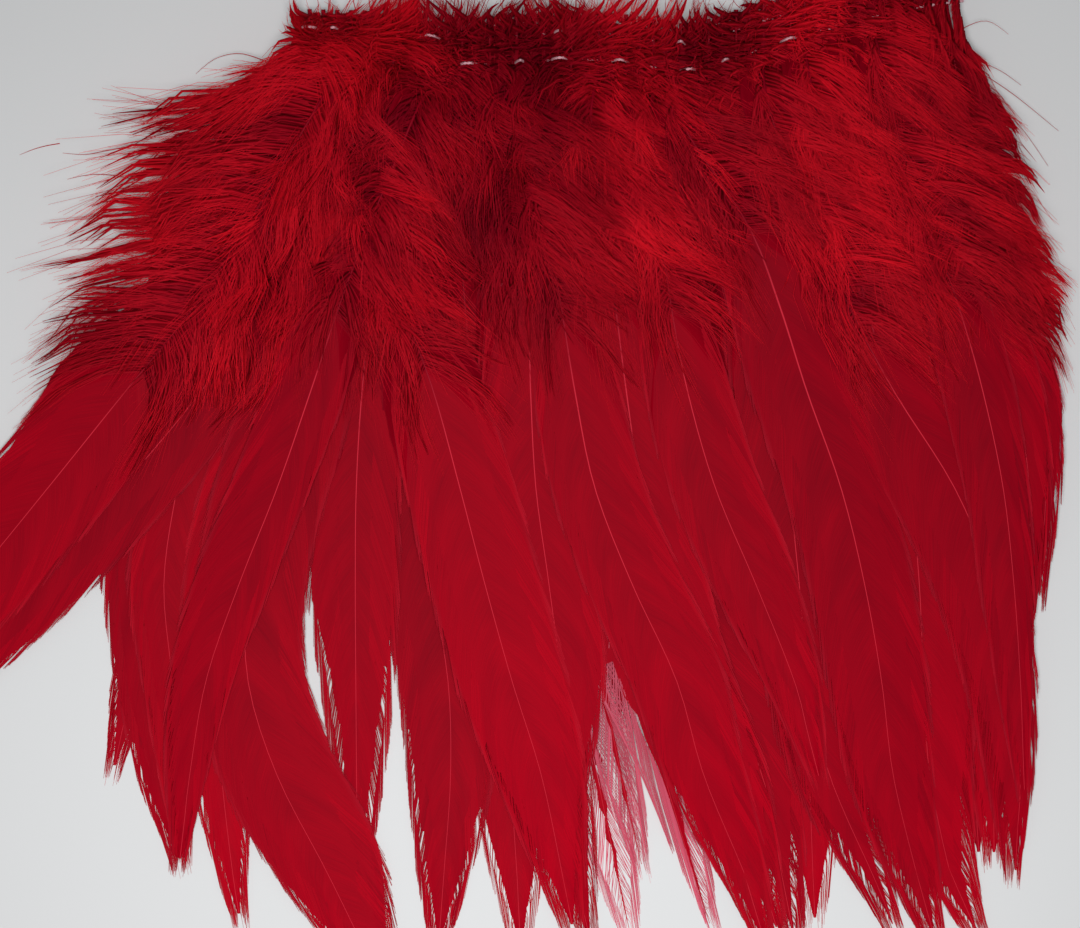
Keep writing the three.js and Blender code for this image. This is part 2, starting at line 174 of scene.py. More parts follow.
moved = add(way, "ShaderNodeVectorMath", on_shaft.outputs["Position"], beyond, operation="ADD")
moved_out = add(way, "ShaderNodeVectorMath", moved, to_side, operation="ADD")
position = add(way, "ShaderNodeVectorMath", moved_out, downwards, operation="ADD")
add(way, "NodeGroupOutput", position, on_shaft.outputs["Tangent"])


# Barbs in two rows, one on each side of a shaft. Neighbours lean together into tufts.
barbs, given, _ = node_tree("Two rows of barbs", (
    ("Shaft", "Geometry", None), ("Widths", "String", "half_widths"), ("Start", "Float", 0.0),
    ("End", "Float", 0.1), ("Spacing", "Float", 0.0006), ("Steps", "Int", 3), ("From", "Float", 0.0),
    ("Reach", "Float", 0.015), ("First reach", "Float", 1.0), ("Last reach", "Float", 1.0),
    ("Beyond tip", "Float", 0.0), ("Fill", "Float", 1.0), ("Flare", "Float", 0.0),
    ("Uneven", "Float", 0.1), ("Tuft", "Float", 0.004), ("Tuft pull", "Float", 0.3),
    ("Tuft sway", "Float", 0.1), ("Tuft turn", "Float", 0.0), ("Lift", "Float", 0.0),
    ("Droop", "Float", 0.0003), ("Curl", "Float", 0.0), ("Swirl", "Float", 0.0),
    ("Comb", "Vector", None), ("Bow", "Float", 1.8), ("Barb width", "Float", 0.0004),
    ("Root width", "Float", 1.0), ("Tip width", "Float", 0.25), ("End width", "Float", 1.0),
    ("Barb thickness", "Float", 0.1), ("Smooth", "Bool", False), ("Shade", "Float", 0.0),
    ("End shade", "Float", 0.0), ("End blend", "Float", 0.0), ("Painted clump light", "Float", 0.0),
    ("Seed", "Int", 0),
), (("Barbs", "Geometry"),))
# Points for every barb, which stand in pairs along the shaft.
each = add(barbs, "ShaderNodeMath", given["Steps"], 1, operation="ADD")
run = add(barbs, "ShaderNodeMath", given["End"], given["Start"], operation="SUBTRACT")
pairs = add(barbs, "ShaderNodeMath", run, given["Spacing"], operation="DIVIDE")
whole_pairs = add(barbs, "ShaderNodeMath", pairs, operation="FLOOR")
barb_count = add(barbs, "ShaderNodeMath", whole_pairs, 2, operation="MULTIPLY")
point_count = add(barbs, "ShaderNodeMath", barb_count, each, operation="MULTIPLY")
points = add(barbs, "GeometryNodePoints", point_count)

index = add(barbs, "GeometryNodeInputIndex")
nth = add(barbs, "ShaderNodeMath", index, each, operation="DIVIDE")
barb = add(barbs, "ShaderNodeMath", nth, operation="FLOOR")
step = add(barbs, "ShaderNodeMath", index, each, operation="MODULO")
half_index = add(barbs, "ShaderNodeMath", barb, 0.5, operation="MULTIPLY")
pair = add(barbs, "ShaderNodeMath", half_index, operation="FLOOR")
odd = add(barbs, "ShaderNodeMath", barb, 2, operation="MODULO")
side = add(barbs, "ShaderNodeMath", odd, 2, -1, operation="MULTIPLY_ADD")
jitter = add(barbs, "FunctionNodeRandomValue", {2: -0.2, 3: 0.2, "ID": barb, "Seed": given["Seed"]})
place = add(barbs, "ShaderNodeMath", pair, jitter, operation="ADD")
along = add(barbs, "ShaderNodeMath", place, given["Spacing"], given["Start"], operation="MULTIPLY_ADD")

# V of each point, which starts nearer to the shaft where the feather comes to its tip.
header = add(barbs, "ShaderNodeMath", given["Start"], HEADER, operation="ADD")
past_header = add(barbs, "ShaderNodeMapRange", along, given["Start"], header, 0.1, 1.0)
length = add(barbs, "GeometryNodeCurveLength", given["Shaft"])
left_over = add(barbs, "ShaderNodeMath", length, along, operation="SUBTRACT")
from_root = add(barbs, "ShaderNodeMapRange", left_over, TAPER_TO, TAPER_FROM, 0.2, 1.0)
from_v = add(barbs, "ShaderNodeMath", given["From"], from_root, operation="MULTIPLY")
v = add(barbs, "ShaderNodeMapRange", step, 0.0, given["Steps"], from_v, 1.0)

# The tuft that a barb is in. Its barbs lean to one root on the shaft.
offset = add(barbs, "ShaderNodeMath", given["Seed"], 0.37, operation="MULTIPLY")
row_offset = add(barbs, "ShaderNodeMath", side, 50, offset, operation="MULTIPLY_ADD")
tufts_along = add(barbs, "ShaderNodeMath", along, given["Tuft"], operation="DIVIDE")
cell = add(barbs, "ShaderNodeMath", tufts_along, row_offset, operation="ADD")
tuft = add(barbs, "ShaderNodeTexVoronoi", {"W": cell, "Scale": 1.0}, voronoi_dimensions="1D")
tuft_cell = add(barbs, "ShaderNodeMath", tuft.outputs["W"], row_offset, operation="SUBTRACT")
tuft_root = add(barbs, "ShaderNodeMath", tuft_cell, given["Tuft"], operation="MULTIPLY")
tuft_random = add(barbs, "FunctionNodeSeparateColor", tuft.outputs["Color"])
v_squared = add(barbs, "ShaderNodeMath", v, v, operation="MULTIPLY")
pull_here = add(barbs, "ShaderNodeMath", past_header, given["Tuft pull"], operation="MULTIPLY")
pull = add(barbs, "ShaderNodeMath", v_squared, pull_here, operation="MULTIPLY")
root = add(barbs, "ShaderNodeMix", {"Factor": pull, 2: along, 3: tuft_root})

# How far forward and how far out a barb goes.
sway = add(barbs, "ShaderNodeMath", tuft_random.outputs["Red"], 2, -1, operation="MULTIPLY_ADD")
swaying = add(barbs, "ShaderNodeMath", sway, given["Tuft sway"], 1, operation="MULTIPLY_ADD")
own_length = add(barbs, "FunctionNodeRandomValue", {2: -1.0, 3: 1.0, "ID": barb, "Seed": 11})
uneven = add(barbs, "ShaderNodeMath", own_length, given["Uneven"], 1, operation="MULTIPLY_ADD")
reach = add(barbs, "ShaderNodeMath", given["Reach"], swaying, operation="MULTIPLY")
own_reach = add(barbs, "ShaderNodeMath", reach, uneven, operation="MULTIPLY")
first = add(barbs, "ShaderNodeMapRange", along, given["Start"], header, given["First reach"], 1.0)
before_end = add(barbs, "ShaderNodeMath", given["End"], DOWN_INTO_WEB, operation="SUBTRACT")
near_end = add(barbs, "ShaderNodeMapRange", along, before_end, given["End"], 0.0, 1.0)
last = add(barbs, "ShaderNodeMix", {"Factor": near_end, 2: 1.0, 3: given["Last reach"]})
turned = add(barbs, "ShaderNodeMath", own_reach, first, operation="MULTIPLY")
longer = add(barbs, "ShaderNodeMath", turned, last, operation="MULTIPLY")
over = add(
    barbs, "ShaderNodeMath", own_length, given["Beyond tip"], left_over, operation="MULTIPLY_ADD",
)
forward = add(barbs, "ShaderNodeMath", longer, over, operation="MINIMUM")
own_side = add(barbs, "FunctionNodeRandomValue", {2: -1.0, 3: 1.0, "ID": barb, "Seed": 23})
uneven_side = add(barbs, "ShaderNodeMath", own_side, given["Uneven"], 1, operation="MULTIPLY_ADD")
turning = add(
    barbs, "ShaderNodeMath", tuft_random.outputs["Blue"], given["Tuft turn"], operation="MULTIPLY",
)
facing = add(barbs, "ShaderNodeMath", uneven_side, turning, operation="SUBTRACT")
fill = add(barbs, "ShaderNodeMath", given["Fill"], facing, operation="MULTIPLY")
on_way = add(barbs, "GeometryNodeGroup", {
    "Shaft": given["Shaft"], "Widths": given["Widths"], "Root": root, "Forward": forward, "V": v,
    "Side": side, "Fill": fill, "Flare": given["Flare"], "Bow": given["Bow"],
    "Droop": given["Droop"],
}, node_tree=way)

# Tufts stand up from the shaft, curl, swirl with their neighbours and are combed one way.
# Nothing goes through the paper.
flattening = add(barbs, "ShaderNodeMath", near_end, -0.8, 1.0, operation="MULTIPLY_ADD")
tuft_height = add(
    barbs, "ShaderNodeMath", tuft_random.outputs["Green"], 0.7, 0.3, operation="MULTIPLY_ADD",
)
lifting = add(barbs, "ShaderNodeMath", tuft_height, given["Lift"], operation="MULTIPLY")
settled = add(barbs, "ShaderNodeMath", lifting, flattening, operation="MULTIPLY")
v_root = add(barbs, "ShaderNodeMath", v, 0.6, operation="POWER")
lifted = add(barbs, "ShaderNodeMath", settled, v_root, operation="MULTIPLY")
phase = add(barbs, "FunctionNodeRandomValue", {2: 0.0, 3: 6.28, "ID": barb, "Seed": 31})
turn = add(barbs, "ShaderNodeMath", v, 4.5, phase, operation="MULTIPLY_ADD")
wave = add(barbs, "ShaderNodeMath", turn, operation="SINE")
second_wave = add(barbs, "ShaderNodeMath", turn, operation="COSINE")
curl = add(barbs, "ShaderNodeMath", given["Curl"], v, operation="MULTIPLY")
waving = add(barbs, "ShaderNodeMath", wave, curl, operation="MULTIPLY")
rising = add(barbs, "ShaderNodeMath", second_wave, curl, lifted, operation="MULTIPLY_ADD")
ahead = add(
    barbs, "ShaderNodeVectorMath", {0: on_way.outputs["Tangent"], "Scale": waving}, operation="SCALE",
)
upwards = add(barbs, "ShaderNodeCombineXYZ", {"Z": rising})
waved = add(barbs, "ShaderNodeVectorMath", ahead, upwards, operation="ADD")
swirls = add(barbs, "ShaderNodeTexNoise", {
    "Vector": on_way.outputs["Position"], "Scale": CLUMPS_PER_METRE, "Detail": 1.0,
})
swirling = add(
    barbs, "ShaderNodeVectorMath", swirls.outputs["Color"], (0.5, 0.5, 0.5), operation="SUBTRACT",
)
swirl_here = add(barbs, "ShaderNodeMath", given["Swirl"], flattening, operation="MULTIPLY")
swirl = add(barbs, "ShaderNodeMath", swirl_here, v_squared, operation="MULTIPLY")
swirled = add(barbs, "ShaderNodeVectorMath", {0: swirling, "Scale": swirl}, operation="SCALE")
combing = add(barbs, "ShaderNodeMath", past_header, v_squared, operation="MULTIPLY")
swept = add(barbs, "ShaderNodeVectorMath", {0: given["Comb"], "Scale": combing}, operation="SCALE")
turned_over = add(barbs, "ShaderNodeVectorMath", swept, swirled, operation="ADD")
combed = add(barbs, "ShaderNodeVectorMath", waved, turned_over, operation="ADD")
position = add(barbs, "ShaderNodeVectorMath", on_way.outputs["Position"], combed, operation="ADD")
on_paper = add(
    barbs, "ShaderNodeVectorMath", position, (-1, -1, PAPER_CLEARANCE), operation="MAXIMUM",
)
placed = add(barbs, "GeometryNodeSetPosition", {"Geometry": points, "Position": on_paper})

# The tone of a barb: its own and its tuft's, and painted light and shade that make some clumps lighter
# and others darker. It ends near the web's tone. The material reads V, the tone and the place along the
# shaft from the attribute barb.
own_tone = add(barbs, "FunctionNodeRandomValue", {2: 0.0, 3: 1.0, "ID": barb, "Seed": 47})
tuft_tone = add(barbs, "ShaderNodeMix", {"Factor": 0.2, 2: tuft_random.outputs["Green"], 3: own_tone})
# Painted light and shade: some clumps are painted lighter and others darker.
clump_light_offset = add(barbs, "ShaderNodeMath", swirls.outputs[0], 0.5, operation="SUBTRACT")
painted_clump_light = add(barbs, "ShaderNodeMath", clump_light_offset, given["Painted clump light"], given["Shade"], operation="MULTIPLY_ADD")
shaded_tone = add(barbs, "ShaderNodeMath", tuft_tone, painted_clump_light, operation="ADD")
blend = add(barbs, "ShaderNodeMath", near_end, given["End blend"], operation="MULTIPLY")
tone = add(barbs, "ShaderNodeMix", {"Factor": blend, 2: shaded_tone, 3: given["End shade"]})
looks = add(barbs, "ShaderNodeCombineXYZ", v, tone, along)
toned = add(
    barbs, "GeometryNodeStoreNamedAttribute",
    {"Geometry": placed, "Name": "barb", "Value": looks}, data_type="FLOAT_VECTOR", domain="POINT",
)

# The width of a barb, and its mesh: a flat three-sided strip with a ridge on top.
widening = add(barbs, "ShaderNodeMapRange", v, 0.0, 0.35, given["Root width"], 1.0)
narrowing = add(barbs, "ShaderNodeMix", {"Factor": v, 2: 1.0, 3: given["Tip width"]})
shape = add(barbs, "ShaderNodeMath", widening, narrowing, operation="MULTIPLY")
towards_end = add(
    barbs, "ShaderNodeMapRange", left_over, 0.0, THINNER_FROM, given["End width"], 1.0,
)
width_here = add(barbs, "ShaderNodeMath", given["Barb width"], towards_end, operation="MULTIPLY")
slimmer = add(barbs, "ShaderNodeMath", blend, -0.4, 1, operation="MULTIPLY_ADD")
slim_width = add(barbs, "ShaderNodeMath", width_here, slimmer, operation="MULTIPLY")
wide_at = add(barbs, "ShaderNodeMath", slim_width, shape, operation="MULTIPLY")
radius = add(barbs, "ShaderNodeMath", wide_at, TRIANGLE_RADIUS, operation="MULTIPLY")
sized = add(
    barbs, "GeometryNodeStoreNamedAttribute",
    {"Geometry": toned, "Name": "barb_radius", "Value": radius}, data_type="FLOAT", domain="POINT",
)
strands = add(barbs, "GeometryNodePointsToCurves", {"Points": sized, "Curve Group ID": barb})
strand_radius = add(barbs, "GeometryNodeInputNamedAttribute", "barb_radius", data_type="FLOAT")
upright = add(barbs, "GeometryNodeSetCurveNormal", strands, mode="Z_UP")
triangle = add(barbs, "GeometryNodeCurvePrimitiveCircle", {"Resolution": 3, "Radius": 1.0})
ridge_up = add(barbs, "GeometryNodeTransform", {
    "Geometry": triangle, "Rotation": (0, 0, QUARTER_TURN),
})
corner = add(barbs, "GeometryNodeInputPosition")
corner_parts = add(barbs, "ShaderNodeSeparateXYZ", corner)
marked = add(
    barbs, "GeometryNodeStoreNamedAttribute",
    {"Geometry": ridge_up, "Name": "across", "Value": corner_parts.outputs["X"]},
    data_type="FLOAT", domain="POINT",
)
flatness = add(barbs, "ShaderNodeCombineXYZ", 1.0, given["Barb thickness"], 1.0)
flattened = add(barbs, "GeometryNodeTransform", {"Geometry": marked, "Scale": flatness})
strips = add(
    barbs, "GeometryNodeCurveToMesh",
    {"Curve": upright, "Profile Curve": flattened, "Scale": strand_radius, "Fill Caps": True},
)
shaded = add(barbs, "GeometryNodeSetShadeSmooth", {"Geometry": strips, "Shade Smooth": given["Smooth"]})
add(barbs, "NodeGroupOutput", shaded)


# The hooked part of the web: one thin closed sheet, which follows the barbs on both sides.
# Its edge is ragged every 3.3 mm, and its tone changes every 8.3 mm.
EDGE_RAGS_PER_METRE = 300.0
TONES_PER_METRE = 120.0
WEB_OPENS_OVER = 20 * MM
# Under the down the web is painted darker over this stretch: painted shade beneath the fluff.
WEB_SHADED_UNDER_DOWN = 16 * MM
SINKS_FROM = 12 * MM
SINKS_TO = 24 * MM
SUNK_UNDER_FLUFF = 2.5 * MM
hooked, given, _ = node_tree("Hooked web", (
    ("Shaft", "Geometry", None), ("Start", "Float", 0.004), ("Down end", "Float", 0.04),
    ("Rows", "Int", 56), ("Reach", "Float", 0.015), ("Edge", "Float", 0.8),
    ("Tip edge", "Float", 0.5), ("Droop", "Float", 0.0003), ("Thickness", "Float", WEB_THICKNESS),
    ("Shade", "Float", 0.0), ("Seed", "Int", 0),
), (("Web", "Geometry"),))
grid = add(hooked, "GeometryNodeMeshGrid", {
    "Size X": 1.0, "Size Y": 2.0, "Vertices X": given["Rows"], "Vertices Y": 9,
})
on_grid = add(hooked, "GeometryNodeInputPosition")
place = add(hooked, "ShaderNodeSeparateXYZ", on_grid)
length = add(hooked, "GeometryNodeCurveLength", given["Shaft"])
share = add(hooked, "ShaderNodeMath", place.outputs["X"], 0.5, operation="ADD")
root = add(hooked, "ShaderNodeMapRange", share, 0.0, 1.0, given["Start"], length)
side_way = add(hooked, "ShaderNodeMath", place.outputs["Y"], operation="SIGN")
side = add(hooked, "ShaderNodeMath", side_way, -1, operation="MULTIPLY")
how_far = add(hooked, "ShaderNodeMath", place.outputs["Y"], operation="ABSOLUTE")
row_noise = add(hooked, "ShaderNodeMath", given["Seed"], side, root, operation="MULTIPLY_ADD")
ragged = add(hooked, "ShaderNodeTexNoise", {
    "W": row_noise, "Scale": EDGE_RAGS_PER_METRE,
}, noise_dimensions="1D")
mean_edge = add(hooked, "ShaderNodeMapRange", share, 0.55, 1.0, given["Edge"], given["Tip edge"])
edge = add(hooked, "ShaderNodeMath", ragged.outputs[0], 0.3, mean_edge, operation="MULTIPLY_ADD")
edge_set = add(hooked, "ShaderNodeMath", edge, 0.15, operation="SUBTRACT")
v = add(hooked, "ShaderNodeMath", how_far, edge_set, operation="MULTIPLY")
left_over = add(hooked, "ShaderNodeMath", length, root, operation="SUBTRACT")
header = add(hooked, "ShaderNodeMath", given["Start"], WEB_OPENS_OVER, operation="ADD")
short = add(hooked, "ShaderNodeMapRange", root, given["Start"], header, 0.05, 1.0)
reach = add(hooked, "ShaderNodeMath", given["Reach"], short, operation="MULTIPLY")
forward = add(hooked, "ShaderNodeMath", reach, left_over, operation="MINIMUM")
on_way = add(hooked, "GeometryNodeGroup", {
    "Shaft": given["Shaft"], "Widths": "web_widths", "Root": root, "Forward": forward, "V": v,
    "Side": side, "Droop": given["Droop"],
}, node_tree=way)
tone_noise = add(hooked, "ShaderNodeTexNoise", {
    "W": row_noise, "Scale": TONES_PER_METRE,
}, noise_dimensions="1D")
lit_tone = add(hooked, "ShaderNodeMath", tone_noise.outputs[0], given["Shade"], operation="ADD")
# Painted shade: the sheet is painted darker where it runs under the down.
under_down = add(hooked, "ShaderNodeMath", given["Down end"], WEB_SHADED_UNDER_DOWN, operation="SUBTRACT")
depth = add(hooked, "ShaderNodeMapRange", root, under_down, given["Down end"], -0.8, 0.0)
tone = add(hooked, "ShaderNodeMath", lit_tone, depth, operation="ADD")
looks = add(hooked, "ShaderNodeCombineXYZ", v, tone, root)
toned = add(
    hooked, "GeometryNodeStoreNamedAttribute",
    {"Geometry": grid, "Name": "barb", "Value": looks}, data_type="FLOAT_VECTOR", domain="POINT",
)
past_header = add(
    hooked, "ShaderNodeMapRange", root, SINKS_FROM, SINKS_TO, 0.0, -SUNK_UNDER_FLUFF,
)
before_web = add(hooked, "ShaderNodeMapRange", root, under_down, given["Down end"], 1.0, 0.0)
sunk = add(hooked, "ShaderNodeMath", past_header, before_web, operation="MULTIPLY")
under_fluff = add(hooked, "ShaderNodeCombineXYZ", {"Z": sunk})
lowered = add(
    hooked, "ShaderNodeVectorMath", on_way.outputs["Position"], under_fluff, operation="ADD",
)
on_paper = add(
    hooked, "ShaderNodeVectorMath", lowered, (-1, -1, PAPER_CLEARANCE), operation="MAXIMUM",
)
laid = add(hooked, "GeometryNodeSetPosition", {"Geometry": toned, "Position": on_paper})
half_thickness = add(hooked, "ShaderNodeMath", given["Thickness"], -0.5, operation="MULTIPLY")
down_by_half = add(hooked, "ShaderNodeCombineXYZ", {"Z": half_thickness})
underside = add(hooked, "GeometryNodeSetPosition", {"Geometry": laid, "Offset": down_by_half})
up_by_all = add(hooked, "ShaderNodeCombineXYZ", {"Z": given["Thickness"]})
upper = add(
    hooked, "GeometryNodeExtrudeMesh",
    {"Mesh": underside, "Offset": up_by_all, "Offset Scale": 1.0, "Individual": False}, mode="FACES",
)
lower = add(hooked, "GeometryNodeFlipFaces", underside)
shell = add(hooked, "GeometryNodeJoinGeometry", lower)
hooked.links.new(upper.outputs[0], shell.inputs[0])
closed = add(hooked, "GeometryNodeMergeByDistance", {"Geometry": shell, "Distance": 1e-6})
add(hooked, "NodeGroupOutput", closed)


KERATIN_IOR = 1.55
# A feather is painted brighter towards its tip, over this stretch of its shaft: painted light.
BRIGHTER_FROM = 80 * MM
BRIGHTER_TO = 150 * MM


def keratin(name, deep, bright, painted_tip_light, through, roughness, gloss, lines, relief, painted_light_through=0.0):
    """Dyed keratin with barbule lines and light that comes through. Its colour is painted brighter to a
    barb's tip and towards the feather's tip, as painted light, and paler at a thin barb's end, as
    painted light that comes through.
    """
    made = bpy.data.materials.new(name)
    made.use_nodes = True
    tree = made.node_tree
    tree.nodes.clear()
    barb_looks = add(tree, "ShaderNodeAttribute", attribute_name="barb")
    parts = add(tree, "ShaderNodeSeparateXYZ", barb_looks.outputs["Vector"])
    across = add(tree, "ShaderNodeAttribute", attribute_name="across")
    radius = add(tree, "ShaderNodeAttribute", attribute_name="barb_radius")
    off_centre = add(
        tree, "ShaderNodeMath", across.outputs["Fac"], radius.outputs["Fac"], operation="MULTIPLY",
    )
    line_x = add(tree, "ShaderNodeMath", off_centre, BARBULE_LINES, operation="DIVIDE")
    line_y = add(tree, "ShaderNodeMath", parts.outputs["X"], 3, operation="MULTIPLY")
    line_z = add(tree, "ShaderNodeMath", parts.outputs["Z"], 2 * BARBULE_LINES, operation="DIVIDE")
    line_place = add(tree, "ShaderNodeCombineXYZ", line_x, line_y, line_z)
    fine = add(tree, "ShaderNodeTexNoise", {"Vector": line_place, "Scale": 1.0, "Detail": 1.0})
    # Painted light and shade: the colour gets brighter towards V = 1, a barb's tip, and darker towards
    # its root.
    light_at_tip = add(tree, "ShaderNodeMath", parts.outputs["X"], painted_tip_light, operation="MULTIPLY")
    own = add(
        tree, "ShaderNodeMath", parts.outputs["Y"], 1 - painted_tip_light, light_at_tip, operation="MULTIPLY_ADD",
    )
    # Painted light: brighter towards the feather's tip.
    painted_light_to_tip = add(tree, "ShaderNodeMapRange", parts.outputs["Z"], BRIGHTER_FROM, BRIGHTER_TO, 0.0, 0.35)
    lit_to_tip = add(tree, "ShaderNodeMath", own, painted_light_to_tip, operation="ADD")
    lined = add(tree, "ShaderNodeMath", fine.outputs[0], lines, lit_to_tip, operation="MULTIPLY_ADD")
    shade = add(tree, "ShaderNodeMath", lined, lines / 2, operation="SUBTRACT")
    colour = add(
        tree, "ShaderNodeMix", {"Factor": shade, 6: linear(deep), 7: linear(bright)}, data_type="RGBA",
    )
    # Painted light: a thin barb's end is painted paler, for light that comes through it.
    lit_through_end = add(tree, "ShaderNodeMapRange", parts.outputs["X"], 0.75, 1.0, 0.0, painted_light_through)
    colour = add(
        tree, "ShaderNodeMix", {"Factor": lit_through_end, 6: colour.outputs[2], 7: linear(LIT_THROUGH_WEB)},
        data_type="RGBA",
    )
    ribs = add(tree, "ShaderNodeBump", {
        "Strength": relief, "Distance": BARBULE_LINES / 2, "Height": fine.outputs[0],
    })
    face = add(tree, "ShaderNodeBsdfPrincipled", {
        "Base Color": colour.outputs[2], "Roughness": roughness, "IOR": KERATIN_IOR,
        "Specular IOR Level": gloss, "Normal": ribs,
    })
    glow = add(tree, "ShaderNodeBsdfTranslucent", {"Color": colour.outputs[2]})
    both = add(tree, "ShaderNodeMixShader", through, face, glow)
    add(tree, "ShaderNodeOutputMaterial", both)
    return made


# Hooked barbs take the dye evenly and lie flat: a smooth, satin crimson with faint fine lines along the
# barbs, painted a little paler at the edge as painted light that comes through, and a warm glow where
# light comes through.
web_keratin = keratin(
    "Dyed keratin web", WEB_DEEP_DYE_AND_SHADE, WEB_DYE_AND_LIGHT, painted_tip_light=0.3, through=0.35, roughness=0.5,
    gloss=0.02, lines=0.6, relief=0.3, painted_light_through=0.06,
)
# Down has no hooks, so it stands loose and has no sheen: a soft, matt red, painted bright at the tips,
# which catch the light, as painted light, and painted dark at the roots, which lie in each other's
# shade, as painted shade.
down_keratin = keratin(
    "Dyed keratin down", DOWN_DEEP_DYE_AND_SHADE, DOWN_DYE_AND_LIGHT, painted_tip_light=0.45, through=0.42, roughness=0.6,
    gloss=0.04, lines=0.3, relief=0.1,
)
# Where barbs stand apart, each is thin enough to see through. Its pink against the white paper is
# painted light that comes through the thin barbs; it has a slight gloss.
lit_through_keratin = keratin(
    "Dyed keratin thin web lit through", LIT_THROUGH_WEB_DEEP, LIT_THROUGH_WEB, painted_tip_light=0.3, through=0.35, roughness=0.5,
    gloss=0.2, lines=0.6, relief=0.3,
)
# The shaft is solid, smooth and paler than the web: a fine light line down each feather. Where it runs
# under the down, to the quill, it is painted dark: painted shade under the fluff.
shaft_keratin = keratin(
    "Dyed keratin shaft", DYED_SHADED_QUILL, DYED_SHAFT, painted_tip_light=1.0, through=0.1, roughness=0.5,
    gloss=0.05, lines=0.0, relief=0.0,
)


# One whole feather: its shaft, its down and its web.
feather, given, feather_input = node_tree("Saddle feather", (
    ("Shaft line", "Geometry", None), ("Down end", "Float", 0.045),
    ("Down spacing", "Float", DOWN_FIBRE_SPACING), ("Down length", "Float", 0.009),
    ("Tuft spacing", "Float", 0.5 * DOWN_TUFT), ("Down pull", "Float", 0.45),
    ("Down turn", "Float", 0.5), ("Down sway", "Float", 0.5), ("Down swirl", "Float", 0.014),
    ("Down lift", "Float", 0.004), ("Down shade", "Float", 0.0), ("Comb", "Vector", None),
    ("First reach", "Float", -0.4), ("Web start", "Float", 0.04),
    ("Web spacing", "Float", WEB_BARB_SPACING), ("Web barb width", "Float", WEB_BARB_WIDTH),
    ("Web reach", "Float", 0.026), ("Web from", "Float", 0.4), ("Web edge", "Float", 0.8),
    ("Web tip edge", "Float", 0.5), ("Split", "Float", 0.25), ("Ragged", "Float", 0.025),
    ("Web material", "Material", web_keratin), ("Shade", "Float", 0.0), ("Seed", "Int", 0),
), (("Feather", "Geometry"),))
line = add(feather, "GeometryNodeMeshToCurve", given["Shaft line"])
smooth_line = add(feather, "GeometryNodeCurveSplineType", line, spline_type="CATMULL_ROM")
shaft = add(feather, "GeometryNodeResampleCurve", {"Curve": smooth_line, "Count": 44})
length = add(feather, "GeometryNodeCurveLength", shaft)
web_end = add(feather, "ShaderNodeMath", length, 1 * MM, operation="SUBTRACT")
downy = {
    "Shaft": shaft, "Start": DOWN_STARTS, "End": given["Down end"], "Reach": given["Down length"],
    "First reach": given["First reach"], "Last reach": 1.7, "Tuft": DOWN_TUFT,
    "Tuft sway": given["Down sway"], "Tuft turn": given["Down turn"], "Tuft pull": given["Down pull"],
    "Swirl": given["Down swirl"], "Comb": given["Comb"], "Droop": 0.0, "Bow": 1.4,
    "End shade": 0.45, "End blend": 0.85, "Painted clump light": 1.8, "Seed": given["Seed"],
}
fibres = add(feather, "GeometryNodeGroup", {
    **downy, "Spacing": given["Down spacing"], "Steps": 3, "Uneven": 0.3,
    "Lift": given["Down lift"], "Curl": 0.0008, "Barb width": DOWN_FIBRE_WIDTH, "Tip width": 0.25,
    "Barb thickness": 0.15, "Shade": given["Down shade"],
}, node_tree=barbs)
tuft_first = add(feather, "ShaderNodeMath", given["First reach"], 0.5, operation="MULTIPLY")
tuft_lift = add(feather, "ShaderNodeMath", given["Down lift"], 0.85, operation="MULTIPLY")
# The tufts' blades lie under the fibres and are painted a little darker: painted shade deep in the
# fluff.
tuft_painted_shade = add(feather, "ShaderNodeMath", given["Down shade"], 0.08, operation="SUBTRACT")
tufts = add(feather, "GeometryNodeGroup", {
    **downy, "First reach": tuft_first, "Spacing": given["Tuft spacing"], "Steps": 4, "Uneven": 0.1,
    "Lift": tuft_lift, "Barb width": DOWN_TUFT_WIDTH, "Root width": 0.5, "Tip width": 0.04,
    "Barb thickness": 0.2, "Smooth": True, "Shade": tuft_painted_shade,
}, node_tree=barbs)
web = add(feather, "GeometryNodeGroup", {
    "Shaft": shaft, "Widths": "web_widths", "Start": given["Web start"], "End": web_end,
    "Spacing": given["Web spacing"], "Steps": 2, "From": given["Web from"],
    "Reach": given["Web reach"], "Beyond tip": 0.003, "Flare": 0.25, "Uneven": given["Ragged"],
    "Tuft": 0.005, "Tuft pull": given["Split"], "Tuft sway": 0.1, "Lift": 0.0001,
    "Barb width": given["Web barb width"], "Tip width": 0.3, "End width": 0.5,
    "Barb thickness": 0.12, "Shade": given["Shade"], "Seed": given["Seed"],
}, node_tree=barbs)
sheet = add(feather, "GeometryNodeGroup", {
    "Shaft": shaft, "Start": DOWN_STARTS, "Down end": given["Down end"], "Reach": given["Web reach"],
    "Edge": given["Web edge"], "Tip edge": given["Web tip edge"], "Shade": given["Shade"],
    "Seed": given["Seed"],
}, node_tree=hooked)
along_shaft = add(feather, "GeometryNodeSplineParameter")
to_quill = add(feather, "ShaderNodeMath", 1, along_shaft.outputs["Factor"], operation="SUBTRACT")
thinning = add(feather, "ShaderNodeMath", to_quill, 2.6, operation="POWER")
shaft_radius = add(feather, "ShaderNodeMix", {"Factor": thinning, 2: SHAFT_TIP_RADIUS, 3: QUILL_RADIUS})
